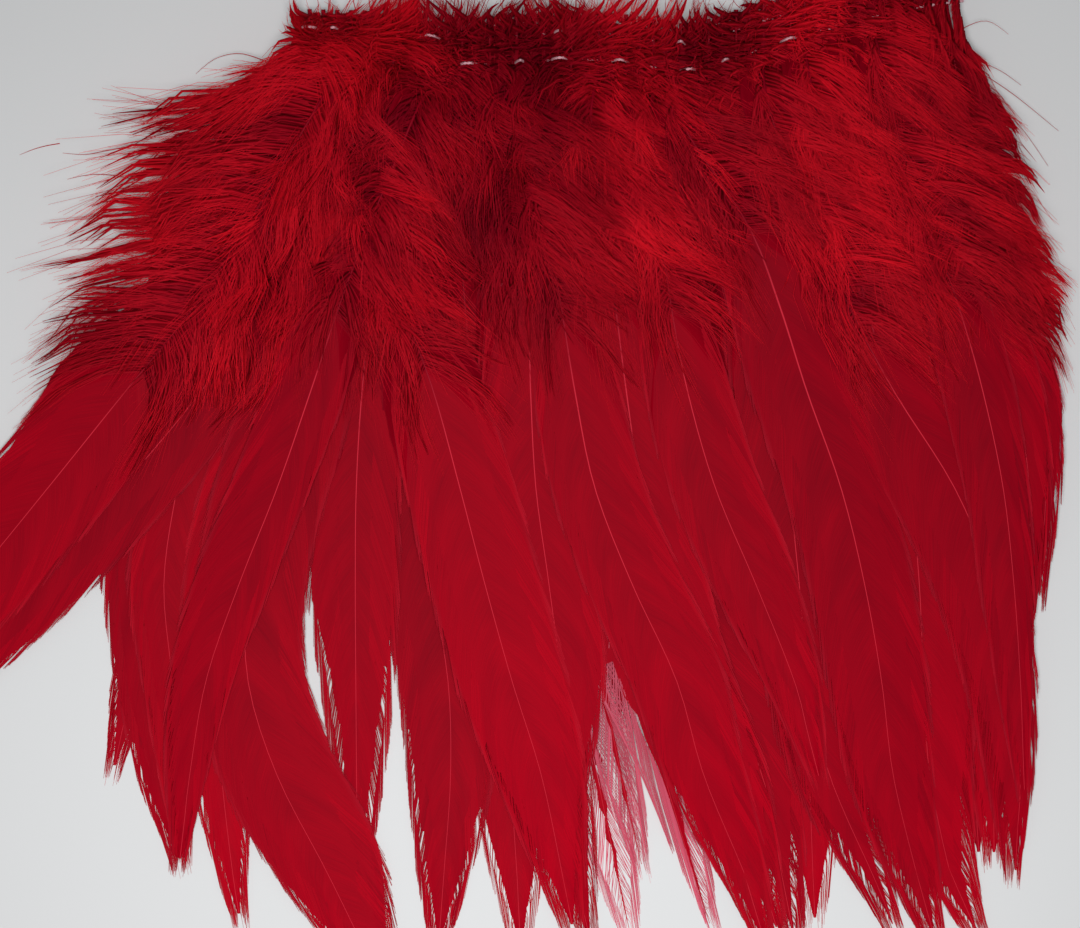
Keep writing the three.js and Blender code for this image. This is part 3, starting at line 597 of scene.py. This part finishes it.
# Painted shade: the shaft is dark under the down and light only past it.
in_down = add(feather, "ShaderNodeMath", given["Down end"], 4 * MM, operation="SUBTRACT")
in_web = add(feather, "ShaderNodeMath", given["Down end"], 12 * MM, operation="ADD")
unshaded_part = add(
    feather, "ShaderNodeMapRange", along_shaft.outputs["Length"], in_down, in_web, 0.0, 1.0,
)
shaft_looks = add(feather, "ShaderNodeCombineXYZ", unshaded_part, 0.5, 0.0)
shaft_toned = add(
    feather, "GeometryNodeStoreNamedAttribute",
    {"Geometry": shaft, "Name": "barb", "Value": shaft_looks}, data_type="FLOAT_VECTOR", domain="POINT",
)
ring = add(feather, "GeometryNodeCurvePrimitiveCircle", {"Resolution": 5, "Radius": 1.0})
rod = add(
    feather, "GeometryNodeCurveToMesh",
    {"Curve": shaft_toned, "Profile Curve": ring, "Scale": shaft_radius, "Fill Caps": True},
)
whole = add(feather, "GeometryNodeJoinGeometry")
for part, material in (
    (rod, shaft_keratin), (fibres, down_keratin), (tufts, down_keratin),
    (web, given["Web material"]), (sheet, web_keratin),
):
    realised = add(feather, "GeometryNodeRealizeInstances", part)
    dressed = add(feather, "GeometryNodeSetMaterial", {"Geometry": realised, "Material": material})
    feather.links.new(dressed.outputs[0], whole.inputs[0])
add(feather, "NodeGroupOutput", whole)


def shaft_points(name):
    """The shaft of one CAD feather, with its half width on each side, from quill end to tip."""
    rings = {}
    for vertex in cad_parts[name].data.vertices:
        rings.setdefault(round(vertex.co.y, 6), []).append(vertex.co)
    shaft_line = []
    for y in sorted(rings, reverse=True):
        corners = rings[y]
        top = max(corner.z for corner in corners)
        low = min(corner.z for corner in corners)
        ridge = [corner.x for corner in corners if corner.z > top - 1e-6]
        middle = (min(ridge) + max(ridge)) / 2
        left = middle - min(corner.x for corner in corners)
        right = max(corner.x for corner in corners) - middle
        shaft_line.append((Vector((middle, y, (top + low) / 2)), left, right))
    return shaft_line


def distance_at(shaft_line, y):
    """How far along its shaft a feather passes a line of constant Y."""
    walked = 0.0
    for (start, _, _), (end, _, _) in zip(shaft_line, shaft_line[1:]):
        if end.y < y:
            return walked + (end - start).length * (start.y - y) / (start.y - end.y)
        walked += (end - start).length
    return walked


def strips_of(lines, attributes):
    """Lines of points as one mesh with vector attributes."""
    mesh = bpy.data.meshes.new("lines")
    points, edges = [], []
    for points_of_line in lines:
        edges += [(k, k + 1) for k in range(len(points), len(points) + len(points_of_line) - 1)]
        points += points_of_line
    mesh.from_pydata(points, edges, [])
    for name, values in attributes.items():
        attribute = mesh.attributes.new(name, "FLOAT_VECTOR", "POINT")
        for k, value in enumerate(values):
            attribute.data[k].vector = value
    return mesh


def evaluated(name, mesh, tree, settings):
    """A piece made by a Geometry Nodes tree from a mesh, as plain mesh."""
    piece = bpy.data.objects.new(name, mesh)
    bpy.context.collection.objects.link(piece)
    modifier = piece.modifiers.new("Shape", "NODES")
    modifier.node_group = tree
    for identifier, value in settings.items():
        modifier[identifier] = value
    bpy.context.view_layer.update()
    shown = piece.evaluated_get(bpy.context.evaluated_depsgraph_get())
    made = bpy.data.meshes.new_from_object(shown)
    piece.modifiers.clear()
    piece.data = made
    bpy.data.meshes.remove(mesh)
    while made.materials and made.materials[0] is None:
        made.materials.pop(index=0)
    return piece


# What differs from feather to feather: the CAD Y in mm at which its down ends, the web's
# looks, and which feathers lie wholly under others, so that fewer barbs do for them.
DOWN_ENDS_Y = {3: 22, 4: 24, 6: 20, 10: 23, 11: 24, 28: 44, 34: 25, 43: 27, 46: 26, 47: 26, 48: 26}
HIDDEN = {13, 15, 17, 21, 23, 25, 27, 29, 31, 32, 33, 35, 36, 38, 39, 41, 45}
# The feathers from RIGHT_EDGE on have short down, and from LAST_FEATHERS on hardly any above.
RIGHT_EDGE = 43
LAST_FEATHERS = 46
# Across the strip, from its left end: CAD X in mm, and how much brighter the down is painted there:
# painted light on its bright clumps and painted shade in its dark hollows.
DOWN_LIGHT_AND_SHADE = (
    (-30, 0.3), (-18, 0.2), (-5, -0.3), (8, -0.6), (18, -0.4), (26, 0.25), (38, 0.3),
    (44, -0.5), (52, 0.0), (62, 0.5), (74, 0.2), (90, -0.15),
)


def painted_down_light(x):
    """How much brighter the down of a feather is painted than the mean: painted light and shade."""
    for (low_x, low_tone), (high_x, high_tone) in zip(DOWN_LIGHT_AND_SHADE, DOWN_LIGHT_AND_SHADE[1:]):
        if x <= high_x * MM:
            share = max(0.0, (x / MM - low_x) / (high_x - low_x))
            return low_tone + (high_tone - low_tone) * share
    return DOWN_LIGHT_AND_SHADE[-1][1]


# Webs with more or fewer of their barbs hooked: hardly any, open at the edge, thin at the
# edge, and whole.
SEE_THROUGH = {
    "Web edge": 0.07, "Web tip edge": 0.04, "Web from": 0.03, "Web spacing": 0.62 * MM,
    "Web barb width": 0.14 * MM, "Ragged": 0.03, "Web material": lit_through_keratin,
}
OPEN_EDGE = {
    "Web edge": 0.68, "Web tip edge": 0.2, "Web from": 0.2, "Web spacing": 0.42 * MM,
    "Web barb width": 0.18 * MM,
}
THIN_EDGE = {
    "Web edge": 0.35, "Web tip edge": 0.04, "Web from": 0.2, "Web spacing": 0.5 * MM,
    "Web barb width": 0.14 * MM, "Web material": lit_through_keratin,
}
WHOLE_EDGE = {"Web edge": 0.95, "Web tip edge": 0.7, "Split": 0.05, "Ragged": 0.05}
OWN_LOOKS = {
    9: WHOLE_EDGE,
    11: OPEN_EDGE, 14: THIN_EDGE, 19: SEE_THROUGH,
    20: SEE_THROUGH, 22: {"Web tip edge": 0.3}, 24: OPEN_EDGE, 28: {"Web tip edge": 0.3},
    30: OPEN_EDGE, 34: {"Web tip edge": 0.3}, 37: {"Web tip edge": 0.3},
    42: {"Web tip edge": 0.3}, 46: OPEN_EDGE, 47: OPEN_EDGE, 48: SEE_THROUGH,
}
# A web is measured where it is free of the down, and narrows over a stretch under the down.
VANE_Y = 6 * MM
WEB_NARROWS_ABOVE_DOWN_END = 18 * MM
WEB_NARROWS_OVER = 20 * MM
BASE_WIDENS_OVER = 16 * MM
# At the left end of the strip the down is longest round one height.
LONGEST_Y = 53 * MM
LONG_WITHIN = 22 * MM


def web_half_widths(shaft_line, number, down_end_y):
    """Left and right half widths of a web, which narrows to a base where it goes under the down."""
    vane = min(shaft_line, key=lambda ring: abs(ring[0].y - VANE_Y))
    quill_y = shaft_line[0][0].y
    widths = []
    for point, left, right in shaft_line:
        narrowest_y = down_end_y + WEB_NARROWS_ABOVE_DOWN_END
        open_share = min(1.0, max(0.0, (narrowest_y - point.y) / WEB_NARROWS_OVER))
        base = DOWN_BASE * min(1.0, 0.4 + (quill_y - point.y) / BASE_WIDENS_OVER)
        if number >= LAST_FEATHERS:
            base *= 0.3
        widths.append([
            base + (min(side, at_vane) - base) * open_share
            for side, at_vane in ((left, vane[1]), (right, vane[2]))
        ] + [0])
    return widths


def down_half_widths(shaft_line, number, to_left):
    """Left and right half widths of the down, which is narrow at the first rings of the shaft."""
    first_shares = (0.35, 0.9, 1.1) if to_left > 0.5 else (0.55, 0.65, 0.8)
    least_right = 8 * MM
    if number >= RIGHT_EDGE:
        first_shares = (0.3, 0.4, 0.6, 0.85)
        least_right = 4 * MM
    if number >= LAST_FEATHERS:
        first_shares = (0.05, 0.1, 0.25, 0.6)
    widths = []
    for (point, left, right), share in zip(shaft_line, first_shares + (1,) * len(shaft_line)):
        longest = max(0.0, 1 - abs(point.y - LONGEST_Y) / LONG_WITHIN)
        least_left = (8 + 8.5 * to_left * longest) * MM
        widths.append((max(left, least_left) * share, max(right, least_right) * share, 0))
    return widths


# The down fans out to the left at the left end of the strip and to the right at its right end.
LEFT_END_X = -16 * MM
LEFT_END_OVER = 10 * MM
RIGHT_END_X = 30 * MM
RIGHT_END_OVER = 20 * MM
chance = random.Random(7)
for number, name in enumerate(FEATHERS, 1):
    shaft_line = shaft_points(name)
    down_end_y = (DOWN_ENDS_Y.get(number, 29) + chance.uniform(-6, 4)) * MM
    down_end = distance_at(shaft_line, down_end_y)
    middle_x = shaft_line[5][0].x
    to_left = min(1.0, max(0.0, (LEFT_END_X - middle_x) / LEFT_END_OVER))
    to_right = min(1.0, max(0.0, (middle_x - RIGHT_END_X) / RIGHT_END_OVER))
    mesh = strips_of([[point for point, _, _ in shaft_line]], {
        "half_widths": down_half_widths(shaft_line, number, to_left),
        "web_widths": web_half_widths(shaft_line, number, down_end_y),
    })
    header_point = shaft_line[3][0]
    depth = max(DOWN_SURFACE - header_point.z, 0)
    settings = {
        "Down end": down_end, "Web start": down_end - WEB_UNDER_DOWN, "Seed": number,
        "Down lift": 4 * MM + 0.7 * depth, "Shade": chance.uniform(-0.3, 0.3),
        "Comb": ((4 - 9 * to_left + 2 * to_right) * MM, (-2 - 3 * to_left - 2 * to_right) * MM, 0.0),
        "First reach": -0.9 + 0.4 * to_left,
        "Down length": (7 - 2 * to_right) * MM, "Down swirl": 0.014 - 0.006 * to_right,
        "Down shade": painted_down_light(header_point.x) + chance.uniform(-0.1, 0.1),
    }
    if to_left > 0.5 or number >= RIGHT_EDGE:
        settings["Tuft spacing"] = 0.3 * DOWN_TUFT
        settings["Down pull"] = 0.12
        settings["Down turn"] = 0.25
        settings["Down sway"] = 0.2
        settings["Down swirl"] = 0.022 if to_left > 0.5 else 0.01
    if number >= LAST_FEATHERS:
        settings["Comb"] = (0.0, -2 * MM, 0.0)
        settings["Down length"] = 4 * MM
    settings.update(OWN_LOOKS.get(number, {}))
    if number in HIDDEN:
        settings["Comb"] = (0.0, 0.0, 0.0)
        settings["Down spacing"] = 6 * DOWN_FIBRE_SPACING
        settings["Tuft spacing"] = DOWN_TUFT
        settings["Web spacing"] = 3 * WEB_BARB_SPACING
    piece = evaluated(
        "plumed_" + name, mesh, feather,
        {feather_input[setting]: value for setting, value in settings.items()},
    )
    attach(piece, "root")
    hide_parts(name)


# The stray barbs
# Single long downy barbs, dyed with the feathers, that stick out of the fluff at both ends
# of the strip. At its left one has come away and lies on the paper, and two reach down to it.
STRAY_BARB_RADIUS = 0.08 * MM
STRAY_LOOKS = (0.5, 0.8, 0.0)
# The way of each, from root to tip, in mm.
STRAY_WAYS = (
    ((82.0, 71.0, 6.0), (88.0, 74.5, 5.0), (91.5, 75.3, 3.5), (94.9, 73.3, 2.0)),
    ((86.0, 68.5, 6.0), (91.5, 65.7, 4.5), (96.5, 62.5, 3.0), (103.3, 57.2, 1.5)),
    ((86.0, 66.5, 6.0), (91.5, 62.7, 4.5), (97.0, 57.5, 3.0), (101.6, 51.3, 1.5)),
    ((85.0, 70.5, 6.0), (89.1, 68.8, 4.5), (93.3, 67.2, 3.0), (97.0, 64.8, 2.0)),
    ((-29.0, 68.5, 5.0), (-33.4, 69.9, 4.0), (-37.6, 69.2, 2.5), (-41.0, 66.8, 1.0)),
    ((-63.9, 55.2, 0.2), (-66.0, 54.8, 0.6), (-68.2, 54.2, 0.6), (-70.6, 53.3, 0.2)),
    ((-52.0, 54.5, 3.0), (-55.9, 53.9, 1.5), (-59.6, 53.3, 0.8), (-63.4, 53.6, 0.3)),
    ((-51.0, 49.0, 3.0), (-55.1, 49.8, 1.5), (-58.9, 49.9, 0.8), (-62.6, 49.2, 0.3)),
)
stray, given, _ = node_tree("Stray barbs", (("Ways", "Geometry", None),), (("Barbs", "Geometry"),))
line = add(stray, "GeometryNodeMeshToCurve", given["Ways"])
smooth_line = add(stray, "GeometryNodeCurveSplineType", line, spline_type="CATMULL_ROM")
bent = add(stray, "GeometryNodeResampleCurve", {"Curve": smooth_line, "Count": 14})
along_barb = add(stray, "GeometryNodeSplineParameter")
thin_end = add(stray, "ShaderNodeMapRange", along_barb.outputs["Factor"], 0.0, 1.0, 1.0, 0.3)
barb_radius = add(stray, "ShaderNodeMath", thin_end, STRAY_BARB_RADIUS, operation="MULTIPLY")
ring = add(stray, "GeometryNodeCurvePrimitiveCircle", {"Resolution": 4, "Radius": 1.0})
bright = add(stray, "GeometryNodeStoreNamedAttribute", {
    "Geometry": bent, "Name": "barb", "Value": STRAY_LOOKS,
}, data_type="FLOAT_VECTOR", domain="POINT")
rods = add(stray, "GeometryNodeCurveToMesh", {
    "Curve": bright, "Profile Curve": ring, "Scale": barb_radius, "Fill Caps": True,
})
realised = add(stray, "GeometryNodeRealizeInstances", rods)
dressed = add(stray, "GeometryNodeSetMaterial", {"Geometry": realised, "Material": down_keratin})
add(stray, "NodeGroupOutput", dressed)
ways = [[Vector(point) * MM for point in points] for points in STRAY_WAYS]
piece = evaluated("stray_down_barbs", strips_of(ways, {}), stray, {})
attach(piece, "root")


# The sewing threads
# Two rows of lockstitch in white two-ply cotton hold the quills. Each row has a needle
# thread over the quills and a bobbin thread under them, locked after every second quill.
COTTON_WHITE = "#d8a2ac"
THREAD_WIDTH = 0.5 * MM
PLY_TURN = 1.6 * MM
FULL_TURN = 6.2832
STITCHES = 24
STITCH = 110 * MM / STITCHES
FIRST_LOCK_X = -22.91 * MM
STITCH_BENDS = (0, 0.09, 0.91)
ROUTE_STEP = 0.5 * MM
BEND_REACH = 0.22 * MM
RAISED_BY_FLUFF = 3.5 * MM
SUNK_IN_FLUFF = 1.0 * MM
# Where the needle threads come up through the fluff: the middle in X and half the length, in mm.
UPPER_DASHES = ((-21.7, 2.2), (-17.6, 1.0), (-7.2, 0.7), (-1.6, 1.8), (19.8, 1.0), (39.9, 0.8))
LOWER_DASHES = (
    (4.6, 1.8), (13.3, 0.7), (19.9, 1.7), (29.9, 1.4), (41.3, 1.1), (47.3, 0.7), (57.8, 1.5),
)

thread, given, _ = node_tree("Two-ply thread", (
    ("Route", "Geometry", None), ("Turn", "Float", PLY_TURN), ("Width", "Float", THREAD_WIDTH),
), (("Thread", "Geometry"),))
line = add(thread, "GeometryNodeMeshToCurve", given["Route"])
even = add(thread, "GeometryNodeResampleCurve", {"Curve": line, "Length": 0.25 * MM}, mode="LENGTH")
walked = add(thread, "GeometryNodeSplineParameter")
turns = add(thread, "ShaderNodeMath", walked.outputs["Length"], given["Turn"], operation="DIVIDE")
off_middle = add(thread, "ShaderNodeMath", given["Width"], 0.23, operation="MULTIPLY")
ply_radius = add(thread, "ShaderNodeMath", given["Width"], 0.27, operation="MULTIPLY")
ply_profile = add(thread, "GeometryNodeCurvePrimitiveCircle", {"Resolution": 5, "Radius": ply_radius})
plies = add(thread, "GeometryNodeJoinGeometry")
for half_turn in (0.0, 0.5):
    turned = add(thread, "ShaderNodeMath", turns, half_turn, operation="ADD")
    angle = add(thread, "ShaderNodeMath", turned, FULL_TURN, operation="MULTIPLY")
    cosine = add(thread, "ShaderNodeMath", angle, operation="COSINE")
    sine = add(thread, "ShaderNodeMath", angle, operation="SINE")
    level_part = add(thread, "ShaderNodeMath", cosine, off_middle, operation="MULTIPLY")
    upright_part = add(thread, "ShaderNodeMath", sine, off_middle, operation="MULTIPLY")
    round_middle = add(thread, "ShaderNodeCombineXYZ", 0.0, level_part, upright_part)
    wound = add(thread, "GeometryNodeSetPosition", {"Geometry": even, "Offset": round_middle})
    ply = add(thread, "GeometryNodeCurveToMesh", {
        "Curve": wound, "Profile Curve": ply_profile, "Fill Caps": True,
    })
    thread.links.new(ply.outputs[0], plies.inputs[0])
# Spun cotton is matt and a pale pink, and its two plies show as a twist.
white_cotton = bpy.data.materials.new("White cotton thread")
white_cotton.use_nodes = True
shader = white_cotton.node_tree.nodes["Principled BSDF"]
shader.inputs["Base Color"].default_value = linear(COTTON_WHITE)
shader.inputs["Roughness"].default_value = 0.8
twisted = add(thread, "GeometryNodeRealizeInstances", plies)
soft = add(thread, "GeometryNodeSetShadeSmooth", twisted)
dressed = add(thread, "GeometryNodeSetMaterial", {"Geometry": soft, "Material": white_cotton})
add(thread, "NodeGroupOutput", dressed)

for row, dashes in (("upper", UPPER_DASHES), ("lower", LOWER_DASHES)):
    for strand in ("needle", "bobbin"):
        name = row + "_seam_" + strand + "_thread"
        corners = {tuple(vertex.co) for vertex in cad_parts[name].data.vertices}
        bends = []
        for stitch in range(STITCHES + 1):
            for share in STITCH_BENDS if stitch < STITCHES else (0,):
                x = FIRST_LOCK_X + (stitch + share) * STITCH
                ring = [corner for corner in corners if abs(corner[0] - x) < BEND_REACH]
                bends.append(sum((Vector(corner) for corner in ring), Vector()) / len(ring))
        route = []
        for start, end in zip(bends, bends[1:]):
            parts = max(1, round((end.x - start.x) / ROUTE_STEP))
            route += [start.lerp(end, k / parts) for k in range(parts)]
        route.append(bends[-1])
        if strand == "needle":
            for point in route:
                shown = max(0, max(1 - ((point.x / MM - x) / half) ** 2 for x, half in dashes))
                raised = RAISED_BY_FLUFF * (1.5 if point.x < -15 * MM else 1)
                point.z += raised * shown - SUNK_IN_FLUFF * (1 - shown)
        piece = evaluated("twisted_" + name, strips_of([route], {}), thread, {})
        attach(piece, "root")
        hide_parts(name)


# White paper
# The strip lies on a plain sheet of uncoated paper, rolled smooth. It isn't part of the
# strip, so it is only staged.
PAPER_WHITE = "#d3d4d5"
PAPER_TOOTH = 1.11 * MM
PAPER_RELIEF = 0.1 * MM
bpy.ops.mesh.primitive_plane_add(size=3, location=(0, 0, 0))
paper = bpy.context.object
paper.name = "paper"
# Uncoated paper is a matt, slightly grey white. Its tooth is drawn coarser than the real
# 0.2 mm, so that the bare ground has a faint grain.
paper_white = bpy.data.materials.new("White paper")
paper_white.use_nodes = True
tree = paper_white.node_tree
shader = tree.nodes["Principled BSDF"]
shader.inputs["Base Color"].default_value = linear(PAPER_WHITE)
shader.inputs["Roughness"].default_value = 0.9
place = add(tree, "ShaderNodeTexCoord")
tooth = add(tree, "ShaderNodeTexNoise", {
    "Vector": place.outputs["Object"], "Scale": 1 / PAPER_TOOTH, "Detail": 3.0,
})
grain = add(tree, "ShaderNodeBump", {
    "Strength": 0.25, "Distance": PAPER_RELIEF, "Height": tooth.outputs[0],
})
tree.links.new(grain.outputs[0], shader.inputs["Normal"])
paper.data.materials.append(paper_white)


# Light
# A soft square lamp high over the strip, which leaves the corners of the paper darker, and a
# little white light from the room.
ROOM_STRENGTH = 0.18
LAMP_SIDE = 140 * MM
LAMP_WATTS = 0.565
LAMP_SPREAD = 1.05
LAMP_PLACE = Vector((10, -30, 720)) * MM
LIT_PLACE = Vector((10, -75, 0)) * MM
world = bpy.data.worlds.new("Room")
bpy.context.scene.world = world
world.use_nodes = True
world.node_tree.nodes["Background"].inputs["Color"].default_value = (1, 1, 1, 1)
world.node_tree.nodes["Background"].inputs["Strength"].default_value = ROOM_STRENGTH
lamp = bpy.data.lights.new("Soft lamp", "AREA")
lamp.shape = "SQUARE"
lamp.size = LAMP_SIDE
lamp.spread = LAMP_SPREAD
lamp.energy = LAMP_WATTS
lamp_object = bpy.data.objects.new("Soft lamp", lamp)
bpy.context.collection.objects.link(lamp_object)
lamp_object.location = LAMP_PLACE
lamp_object.rotation_euler = (LIT_PLACE - LAMP_PLACE).to_track_quat("-Z", "Y").to_euler()
bpy.context.scene.view_settings.view_transform = "Standard"


# Camera
# Straight above the strip, so that 6 pixels of the picture are 1 mm at SCALE_HEIGHT.
VIEW_CENTRE = Vector((16.589, 1.492, 0)) * MM
VIEW_WIDTH = 180 * MM
CAMERA_HEIGHT = 700 * MM
SCALE_HEIGHT = 4 * MM
SENSOR_WIDTH = 36
camera = bpy.data.cameras.new("Above the strip")
camera.sensor_width = SENSOR_WIDTH
camera.lens = SENSOR_WIDTH * (CAMERA_HEIGHT - SCALE_HEIGHT) / VIEW_WIDTH
camera_object = bpy.data.objects.new("Above the strip", camera)
bpy.context.collection.objects.link(camera_object)
camera_object.location = VIEW_CENTRE + Vector((0, 0, CAMERA_HEIGHT))
bpy.context.scene.camera = camera_object
